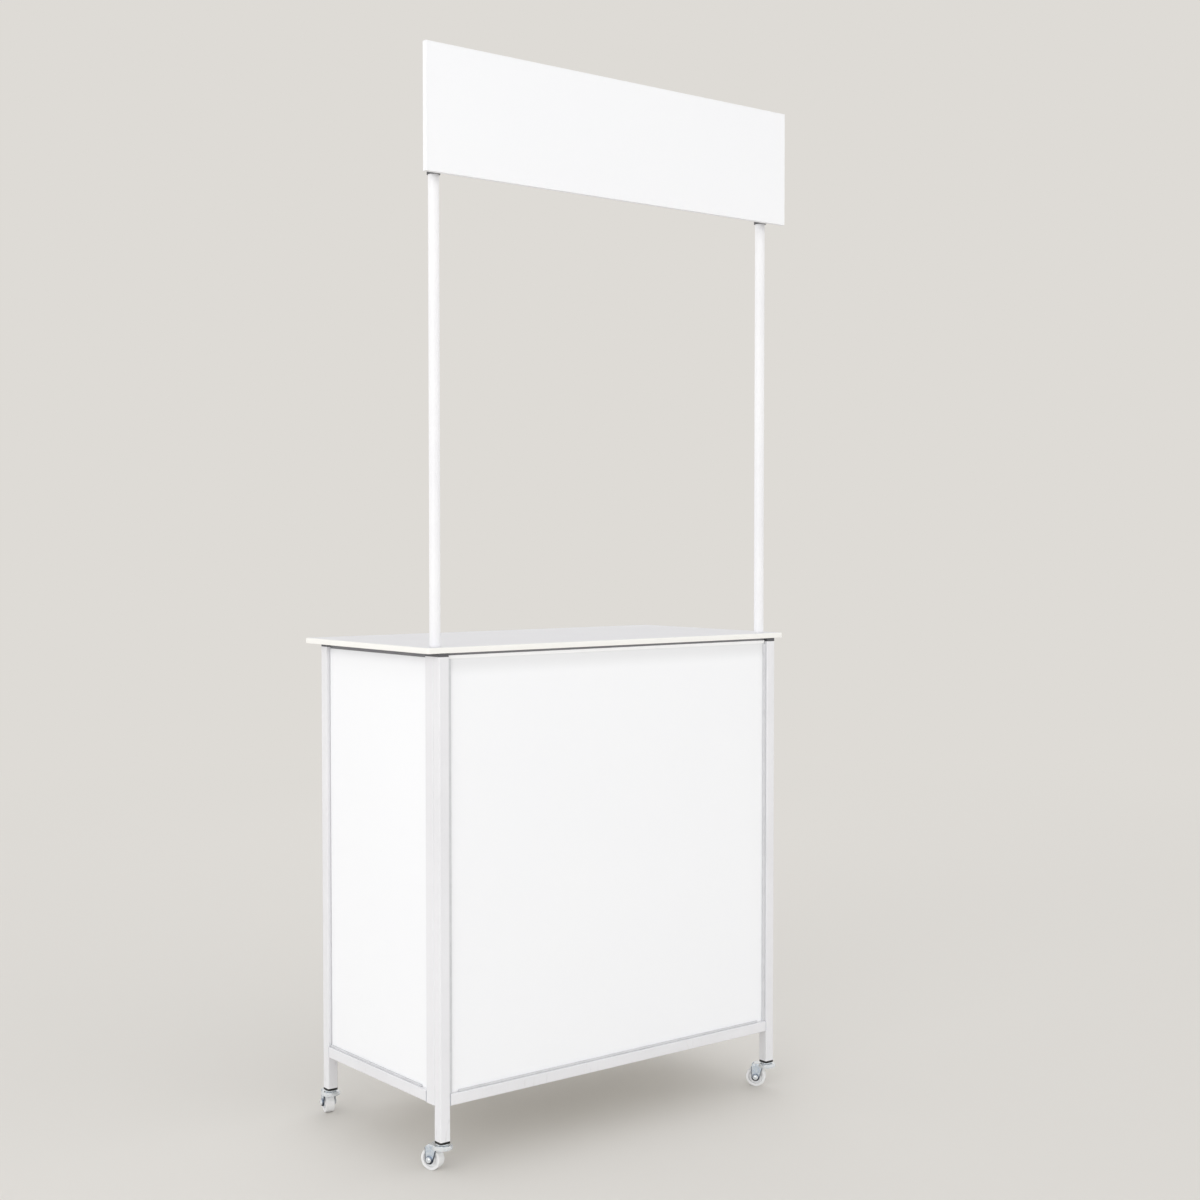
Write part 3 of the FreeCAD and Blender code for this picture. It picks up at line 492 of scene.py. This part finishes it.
band_low, band_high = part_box("top_edge_band")
band_middle = (band_low[2] + band_high[2]) / 2
shape = merged_copy("top_edge_band")
rims = [edge for edge in hard_edges(shape) if is_outer(edge)]
ease(shape, [edge for edge in rims if edge.verts[0].co.z > band_middle], BAND_ROUND, BAND_STEPS)
ease(shape, [edge for edge in hard_edges(shape) if is_outer(edge)], BAND_LOWER_ROUND)
stand_for("top_edge_band", "top_edge_band_strip", shape, [banding])


# Screws: zinc plated pan head screws with a cross recess, driven up through the angle bars into
# the boards and from inside into the panels.

SCREW_HEAD = 0.004
SCREW_SHANK = 0.002
POINT_RADIUS = 0.05 * SCREW_SHANK
HEAD_HEIGHT = 0.0024
HEAD_SIDES = 24
CROWN_RADIUS = 0.6 * SCREW_HEAD
SHOULDER_RADIUS = 0.86 * SCREW_HEAD
SHOULDER_HEIGHT = 0.75 * HEAD_HEIGHT
WALL_HEIGHT = 0.4 * HEAD_HEIGHT
RECESS_REACH = 0.0021
RECESS_DEPTH = 0.0013
RECESS_TAPER = 0.00022
ARM_SHARE = 0.75
PLATE_DEPTH = 0.00002


def zinc_plate(name, colour, tinted, roughness, metal=1.0):
    """Bright zinc plate: cloudy crystal tone with a faint bluish tint."""
    material, place = new_finish(name)
    cloud = place.noise(240.0, 3.0).ramp(0.3, 0.7)
    sockets = {
        "Base Color": cloud.mix(colour, tinted),
        "Metallic": metal,
        "Roughness": roughness + 0.12 * cloud,
        "Normal": place.noise(1500.0).bump(PLATE_DEPTH),
    }
    set_surface(place, sockets)
    return material


def grow_ring(shape, ring, radius, grown, rise):
    """Extrude a ring of edges about the Z axis from one radius to another, and along Z."""
    made = bmesh.ops.extrude_edge_only(shape, edges=ring)["geom"]
    verts = [item for item in made if isinstance(item, bmesh.types.BMVert)]
    bmesh.ops.scale(shape, verts=verts, vec=(grown / radius, grown / radius, 1.0))
    bmesh.ops.translate(shape, verts=verts, vec=(0.0, 0.0, rise))
    return [item for item in made if isinstance(item, bmesh.types.BMEdge)]


def pan_head_screw(length):
    """Mesh of a screw along Z: its head lies below Z 0 and its shank goes up to a point."""
    shape = bmesh.new()
    grid = bmesh.ops.create_grid(shape, x_segments=3, y_segments=3, size=RECESS_REACH)
    for vert in grid["verts"]:
        for axis in (0, 1):
            if abs(vert.co[axis]) < RECESS_REACH / 2:
                vert.co[axis] *= ARM_SHARE
    middles = {face: face.calc_center_median() for face in shape.faces}
    outside = RECESS_REACH / 2
    corners = [face for face, at in middles.items() if min(abs(at.x), abs(at.y)) > outside]
    bmesh.ops.delete(shape, geom=corners, context="FACES")
    cross = shape.faces[:]
    outline = [
        (CROWN_RADIUS, -HEAD_HEIGHT),
        (SHOULDER_RADIUS, -SHOULDER_HEIGHT),
        (SCREW_HEAD, -WALL_HEIGHT),
        (SCREW_HEAD, 0.0),
        (SCREW_SHANK, 0.0),
        (SCREW_SHANK, length - SCREW_SHANK),
        (POINT_RADIUS, length),
    ]
    rim = bmesh.ops.create_circle(shape, segments=HEAD_SIDES, radius=CROWN_RADIUS)["verts"]
    ring = [edge for edge in shape.edges if edge.verts[0] in rim and edge.verts[1] in rim]
    bmesh.ops.bridge_loops(shape, edges=ring + [edge for edge in shape.edges if edge.is_boundary])
    bmesh.ops.translate(shape, verts=shape.verts, vec=(0.0, 0.0, -HEAD_HEIGHT))
    for (radius, height), (grown, risen) in zip(outline, outline[1:]):
        ring = grow_ring(shape, ring, radius, grown, risen - height)
    bmesh.ops.holes_fill(shape, edges=ring)
    bmesh.ops.recalc_face_normals(shape, faces=shape.faces)
    bmesh.ops.inset_region(shape, faces=cross, thickness=RECESS_TAPER, depth=-RECESS_DEPTH)
    mesh = bpy.data.meshes.new("screw")
    shape.to_mesh(mesh)
    shape.free()
    return mesh


def separate_solids(name):
    """Points of each separate solid in a CAD node."""
    shape = merged_copy(name)
    solids = []
    for start in shape.verts:
        if not start.tag:
            start.tag = True
            linked = [start]
            for vert in linked:
                for edge in vert.link_edges:
                    other = edge.other_vert(vert)
                    if not other.tag:
                        other.tag = True
                        linked.append(other)
            solids.append([vert.co.copy() for vert in linked])
    shape.free()
    return solids


def along_z(direction, spot):
    """Move that turns a Z axis to this direction and puts its origin at this spot."""
    turn = Vector((0.0, 0.0, 1.0)).rotation_difference(direction)
    return Matrix.Translation(spot) @ turn.to_matrix().to_4x4()


def add_screws(name, material):
    """Screws in place of a CAD group: most of a screw's points are at its head."""
    shape = bmesh.new()
    for points in separate_solids(name):
        low = Vector(map(min, *points))
        high = Vector(map(max, *points))
        middle = (low + high) / 2
        lean = sum(points, Vector()) / len(points) - middle
        axis = max(range(3), key=lambda i: abs(lean[i]))
        head_way = Vector()
        head_way[axis] = 1.0 if lean[axis] > 0 else -1.0
        whole = high[axis] - low[axis]
        screw = pan_head_screw(whole - HEAD_HEIGHT)
        screw.transform(along_z(-head_way, middle + head_way * (whole / 2 - HEAD_HEIGHT)))
        shape.from_mesh(screw)
        bpy.data.meshes.remove(screw)
    stand_for(name, f"{name}_crossed", shape, [material])


screw_zinc = zinc_plate("screw_zinc", srgb(205, 205, 205), srgb(190, 194, 202), roughness=0.25)
for group in ("top_screws", "shelf_screws", "panel_screws"):
    add_screws(group, screw_zinc)


# Stop bolts: zinc plated hexagon bolts through the inner walls of the pole sockets. The poles
# stand on their shanks.

STOP_BOLT_ROUND = 0.0006

add_eased(("socket_stop_bolts",), STOP_BOLT_ROUND, screw_zinc)


# Caster forks, stems and axles: pressed and turned steel with a bluish bright zinc plate. The fork
# turns on the stem's kingpin. Its head and the faces that look up have a lighter, less metallic copy
# of the zinc, a painted highlight, and its sheared edges and a border round the legs' outsides have a
# dark copy, painted shade. The stem and the axle bolt have the lighter copy too. The axle bolt has a
# round head, and a domed nut on a washer whose lower part is painted dark, as painted shade and
# reflection.

FORK_HALF = 0.0115
HEAD_REACH = 0.0185
HEAD_LOW = 0.0385
PAINTED_SHADE_BORDER = 0.0012
BORDER_TOP = 0.036
ALONG_AXLE = 0.7
FORK_ROUND = 0.0005
STEM_ROUND = 0.0005
AXLE_RADIUS = 0.004
BOLT_HEAD = 0.0065
BOLT_HEAD_HEIGHT = 0.0035
BOLT_CROWN_RADIUS = 0.6 * BOLT_HEAD
BOLT_SHOULDER_RADIUS = 0.9 * BOLT_HEAD
BOLT_SHOULDER_HEIGHT = 0.7 * BOLT_HEAD_HEIGHT
BOLT_WALL_HEIGHT = 0.3 * BOLT_HEAD_HEIGHT
WASHER_RADIUS = 0.007
WASHER_THICKNESS = 0.0012
DOME_RADIUS = 0.0052
DOME_FOOT = 0.0022
DOME_TOP = 0.005
DOME_STEPS = 6
TURNED_SIDES = 48
WASHER_SHADE_HEIGHTS = (0.014, 0.023)

# Three copies of one zinc: the plain one for the legs, a lighter and less metallic one as painted
# highlight, and a dark one as painted shade.
leg_zinc = zinc_plate("caster_zinc", srgb(232, 240, 248), srgb(204, 218, 234), roughness=0.16, metal=0.85)
zinc_painted_highlight = zinc_plate("zinc_painted_highlight", srgb(244, 247, 250), srgb(226, 233, 240), roughness=0.14, metal=0.7)
zinc_painted_shade = zinc_plate("zinc_painted_shade", srgb(96, 103, 114), srgb(76, 83, 96), roughness=0.24)

# Washer finish: painted shade and dark reflection, darker below the axle than above it.
shaded_washer, place = new_finish("washer_painted_shade")
above_washer_shade = place.height().ramp(*WASHER_SHADE_HEIGHTS)
sockets = {
    "Base Color": above_washer_shade.mix(srgb(36, 37, 42), srgb(150, 160, 176)),
    "Metallic": 0.8,
    "Roughness": 0.25 + 0.1 * place.noise(900.0),
}
set_surface(place, sockets)

add_eased(("caster_stem",), STEM_ROUND, zinc_painted_highlight)


def add_fork(name, kingpin, axle, middle):
    """Fork: painted highlight on the head about the kingpin and on upward faces, plain legs across the
    axle, painted shade on edges.
    """
    shape = merged_copy(name)
    outsides = []
    # Painted highlight on the head and the upward faces; painted shade on the faces across the axle.
    for face in shape.faces:
        spots = [vert.co for vert in face.verts]
        near = max((spot.to_2d() - kingpin).length for spot in spots) < HEAD_REACH
        on_head = near and min(spot.z for spot in spots) > HEAD_LOW
        if on_head or face.normal.z > FACING:
            face.material_index = 1
        elif abs(face.normal.dot(axle)) < ALONG_AXLE:
            face.material_index = 2
        elif (spots[0] - middle).dot(face.normal) > FORK_HALF - MERGE_DISTANCE:
            outsides.append(face)
    # Painted shade: a dark border round the legs' outsides, below the border's top.
    borders = bmesh.ops.inset_region(shape, faces=outsides, thickness=PAINTED_SHADE_BORDER, use_even_offset=True)
    for face in borders["faces"]:
        if face.calc_center_median().z < BORDER_TOP:
            face.material_index = 2
    ease(shape, [edge for edge in hard_edges(shape) if edge.is_convex], FORK_ROUND)
    stand_for(name, f"{name}_eased", shape, [leg_zinc, zinc_painted_highlight, zinc_painted_shade])


def turned(outline):
    """Closed shape turned about the Z axis from an outline of radius and height."""
    shape = bmesh.new()
    first, low = outline[0]
    rim = bmesh.ops.create_circle(shape, cap_ends=True, segments=TURNED_SIDES, radius=first)["verts"]
    bmesh.ops.translate(shape, verts=rim, vec=(0.0, 0.0, low))
    ring = shape.edges[:]
    for (radius, height), (grown, risen) in zip(outline, outline[1:]):
        ring = grow_ring(shape, ring, radius, grown, risen - height)
    bmesh.ops.holes_fill(shape, edges=ring)
    bmesh.ops.recalc_face_normals(shape, faces=shape.faces)
    return shape


def add_axle(name, move):
    """Axle bolt along Z from its round head to its domed nut, then moved to its place."""
    nut_foot = FORK_HALF + WASHER_THICKNESS
    rise = DOME_TOP - DOME_FOOT
    arc = [radians(90 * step / DOME_STEPS) for step in range(DOME_STEPS)]
    dome = [(DOME_RADIUS * cos(a), FORK_HALF + DOME_FOOT + rise * sin(a)) for a in arc]
    outline = [
        (BOLT_CROWN_RADIUS, -FORK_HALF - BOLT_HEAD_HEIGHT),
        (BOLT_SHOULDER_RADIUS, -FORK_HALF - BOLT_SHOULDER_HEIGHT),
        (BOLT_HEAD, -FORK_HALF - BOLT_WALL_HEIGHT),
        (BOLT_HEAD, -FORK_HALF),
        (AXLE_RADIUS, -FORK_HALF),
        (AXLE_RADIUS, FORK_HALF),
        (WASHER_RADIUS, FORK_HALF),
        (WASHER_RADIUS, nut_foot),
        (DOME_RADIUS, nut_foot),
    ]
    shape = turned(outline + dome)
    for face in shape.faces:
        heights = [vert.co.z for vert in face.verts]
        is_washer = min(heights) > FORK_HALF - MERGE_DISTANCE and max(heights) < nut_foot + MERGE_DISTANCE
        face.material_index = int(is_washer)
    shape.transform(move)
    stand_for(name, f"{name}_bolt", shape, [zinc_painted_highlight, shaded_washer])


joints = {joint["name"]: joint for joint in frame["joints"]}
CORNERS = ("front_left", "front_right", "rear_left", "rear_right")
at_axle = {}
for corner in CORNERS:
    swivel = joints[f"caster_swivel_{corner}"]
    spin = joints[f"wheel_spin_{corner}"]
    axle = Vector(spin["axis"])
    middle = Vector(spin["pos_m"])
    at_axle[corner] = along_z(axle, middle)
    add_fork(f"caster_fork_{corner}", Vector(swivel["pos_m"]).to_2d(), axle, middle)
    add_axle(f"caster_axle_{corner}", at_axle[corner])


# Caster wheels: white nylon, moulded in one piece with a hub, a thin web and a rounded tread. A
# fine ridge round the tread shows where the mould parted.

WHEEL_STEPS = 72
WHEEL_WIDTH = 0.016
WHEEL_TREAD = 0.0189
WHEEL_RIDGE = 0.019
RIDGE_WIDTH = 0.0006
TREAD_ROUND = 0.0025
TREAD_STEPS = 6
RIM_INSIDE = 0.014
WEB_THICKNESS = 0.006
HUB_WIDTH = 0.018
HUB_RADIUS = 0.008
HUB_BORE = 0.0041
WHEEL_EDGE = 0.0008
NYLON_DEPTH = 0.00004
GLOW_REACH = 0.004

nylon, place = new_finish("wheel_plastic")
sockets = {
    "Base Color": place.noise(80.0).mix(srgb(240, 240, 240), srgb(232, 233, 235)),
    "Roughness": 0.34 + 0.1 * place.noise(500.0),
    "Normal": place.noise(700.0).bump(NYLON_DEPTH),
    "Subsurface Weight": 0.25,
    "Subsurface Radius": (GLOW_REACH, GLOW_REACH, GLOW_REACH),
}
set_surface(place, sockets)


def wheel_shape():
    """Wheel about the Z axis, turned from one half of its section."""
    half_section = [
        (HUB_BORE, HUB_WIDTH / 2),
        (HUB_RADIUS, HUB_WIDTH / 2),
        (HUB_RADIUS, WEB_THICKNESS / 2),
        (RIM_INSIDE, WEB_THICKNESS / 2),
        (RIM_INSIDE, WHEEL_WIDTH / 2),
        (WHEEL_TREAD, WHEEL_WIDTH / 2),
        (WHEEL_TREAD, RIDGE_WIDTH / 2),
        (WHEEL_RIDGE, 0.0),
    ]
    other_half = [(radius, -height) for radius, height in reversed(half_section[:-1])]
    shape = bmesh.new()
    corners = [shape.verts.new((radius, 0.0, height)) for radius, height in half_section + other_half]
    section = [shape.edges.new(pair) for pair in zip(corners, corners[1:] + corners[:1])]
    bmesh.ops.spin(
        shape, geom=corners + section, axis=(0.0, 0.0, 1.0), cent=(0.0, 0.0, 0.0),
        angle=radians(360), steps=WHEEL_STEPS, use_merge=True,
    )
    bmesh.ops.recalc_face_normals(shape, faces=shape.faces)

    def on_tread(edge):
        return all(vert.co.to_2d().length > WHEEL_TREAD - MERGE_DISTANCE for vert in edge.verts)

    ease(shape, [edge for edge in hard_edges(shape) if on_tread(edge)], TREAD_ROUND, TREAD_STEPS)
    inner = [edge for edge in hard_edges(shape) if not on_tread(edge)]
    ease(shape, inner, WHEEL_EDGE)
    return shape


for corner, move in at_axle.items():
    shape = wheel_shape()
    shape.transform(move)
    stand_for(f"caster_wheel_{corner}", f"caster_wheel_{corner}_moulding", shape, [nylon])


# Header poles: round steel tube, painted white, standing in the sockets on the stop bolts. Black
# plastic caps close their ends.

POLE_CAP_ROUND = 0.001

pole_paint = powder_coat("pole_paint", srgb(243, 243, 245), srgb(238, 238, 241), scuffed_below=0.01)
dress(("header_pole",), pole_paint)
add_eased(("pole_caps",), POLE_CAP_ROUND, black_plastic)
dress(("pole_feet",), black_plastic)


# Header: a flat board of the panels' sheet, on dark moulded clips that grip the poles and are
# screwed to its back.

CLIP_ROUND = 0.0008

# The header board turns a little grey at its top edge.
header_sheet = plastic_sheet(
    "header_sheet", srgb(246, 247, 249), srgb(244, 245, 248),
    top_grey=srgb(239, 240, 242), top_grey_heights=(1.903, 1.912),
)
dress(("header_board",), header_sheet)
add_eased(("header_clips",), CLIP_ROUND, dark_plastic)
add_screws("clip_screws", screw_zinc)


# Floor: a plain pale matt floor that takes the counter's shadow. It fades into the background, so
# that no horizon shows.

BACKGROUND = srgb(222, 219, 214)
FLOOR_REACH = 14.0
FLOOR_SIDES = 96
FADE = (2.2, 5.5)

floor_finish, place = new_finish("floor")
distance = place.node("VectorMath", {"operation": "LENGTH"}, {0: place}, "Value")
matt = place.node("BsdfPrincipled", {}, {"Base Color": BACKGROUND, "Roughness": 0.85})
far = place.node("Emission", {}, {"Color": BACKGROUND})
faded = place.node("MixShader", {}, {0: distance.ramp(*FADE), 1: matt, 2: far})
faded.node("OutputMaterial", {}, {"Surface": faded})

shape = bmesh.new()
bmesh.ops.create_circle(shape, cap_ends=True, segments=FLOOR_SIDES, radius=FLOOR_REACH)
floor_mesh = bpy.data.meshes.new("floor")
shape.to_mesh(floor_mesh)
shape.free()
floor_mesh.materials.append(floor_finish)
floor = bpy.data.objects.new("floor", floor_mesh)
bpy.context.scene.collection.objects.link(floor)


# Studio light: a soft sky that is brightest at the horizon, with a broad lamp low on the left and a
# weak one behind.

HORIZON_STRENGTH = 1.36
ZENITH_STRENGTH = 0.74
LAMPS = {
    "key": ((-4.2, -2.3, 1.7), 3.0, 38.0),
    "back": ((2.4, 3.4, 3.0), 3.0, 10.0),
}

world = bpy.data.worlds.new("studio")
bpy.context.scene.world = world
world.use_nodes = True
world.node_tree.nodes.clear()
sky = Shade(world.node_tree)
seen = sum(
    (sky.node("LightPath", {}, {}, ray) for ray in ("Is Glossy Ray", "Is Transmission Ray")),
    start=sky.node("LightPath", {}, {}, "Is Camera Ray"),
)
direction = sky.node("TexCoord", {}, {}, "Generated")
rise = direction.height().ramp(0.0, 1.0)
strength = HORIZON_STRENGTH + (ZENITH_STRENGTH - HORIZON_STRENGTH) * rise
shown = sky.node("Background", {}, {"Color": BACKGROUND, "Strength": 1.0})
lit = sky.node("Background", {}, {"Color": (1.0, 1.0, 1.0, 1.0), "Strength": strength})
both = sky.node("MixShader", {}, {0: seen, 1: lit, 2: shown})
both.node("OutputWorld", {}, {"Surface": both})

AIM = Vector((0.0, 0.0, 0.8))
for name, (spot, size, power) in LAMPS.items():
    lamp = bpy.data.lights.new(name, "AREA")
    lamp.size = size
    lamp.energy = power
    holder = bpy.data.objects.new(name, lamp)
    holder.location = spot
    holder.rotation_euler = (AIM - Vector(spot)).to_track_quat("-Z", "Y").to_euler()
    bpy.context.scene.collection.objects.link(holder)


# Camera: low in front and to the left, at the photographed angle. Its place, turn and lens are those
# at which the counter's edges fall where they are in the photograph.

CAMERA_PLACE = (-2.0347, -2.7139, 1.0772)
CAMERA_TILT = radians(88.091)
CAMERA_TURN = radians(-38.461)
LENS = 53.125

camera = bpy.data.objects.new("camera", bpy.data.cameras.new("camera"))
camera.location = CAMERA_PLACE
camera.rotation_euler = (CAMERA_TILT, 0.0, CAMERA_TURN)
camera.data.lens = LENS
bpy.context.scene.collection.objects.link(camera)
bpy.context.scene.camera = camera
bpy.context.scene.view_settings.view_transform = "Standard"
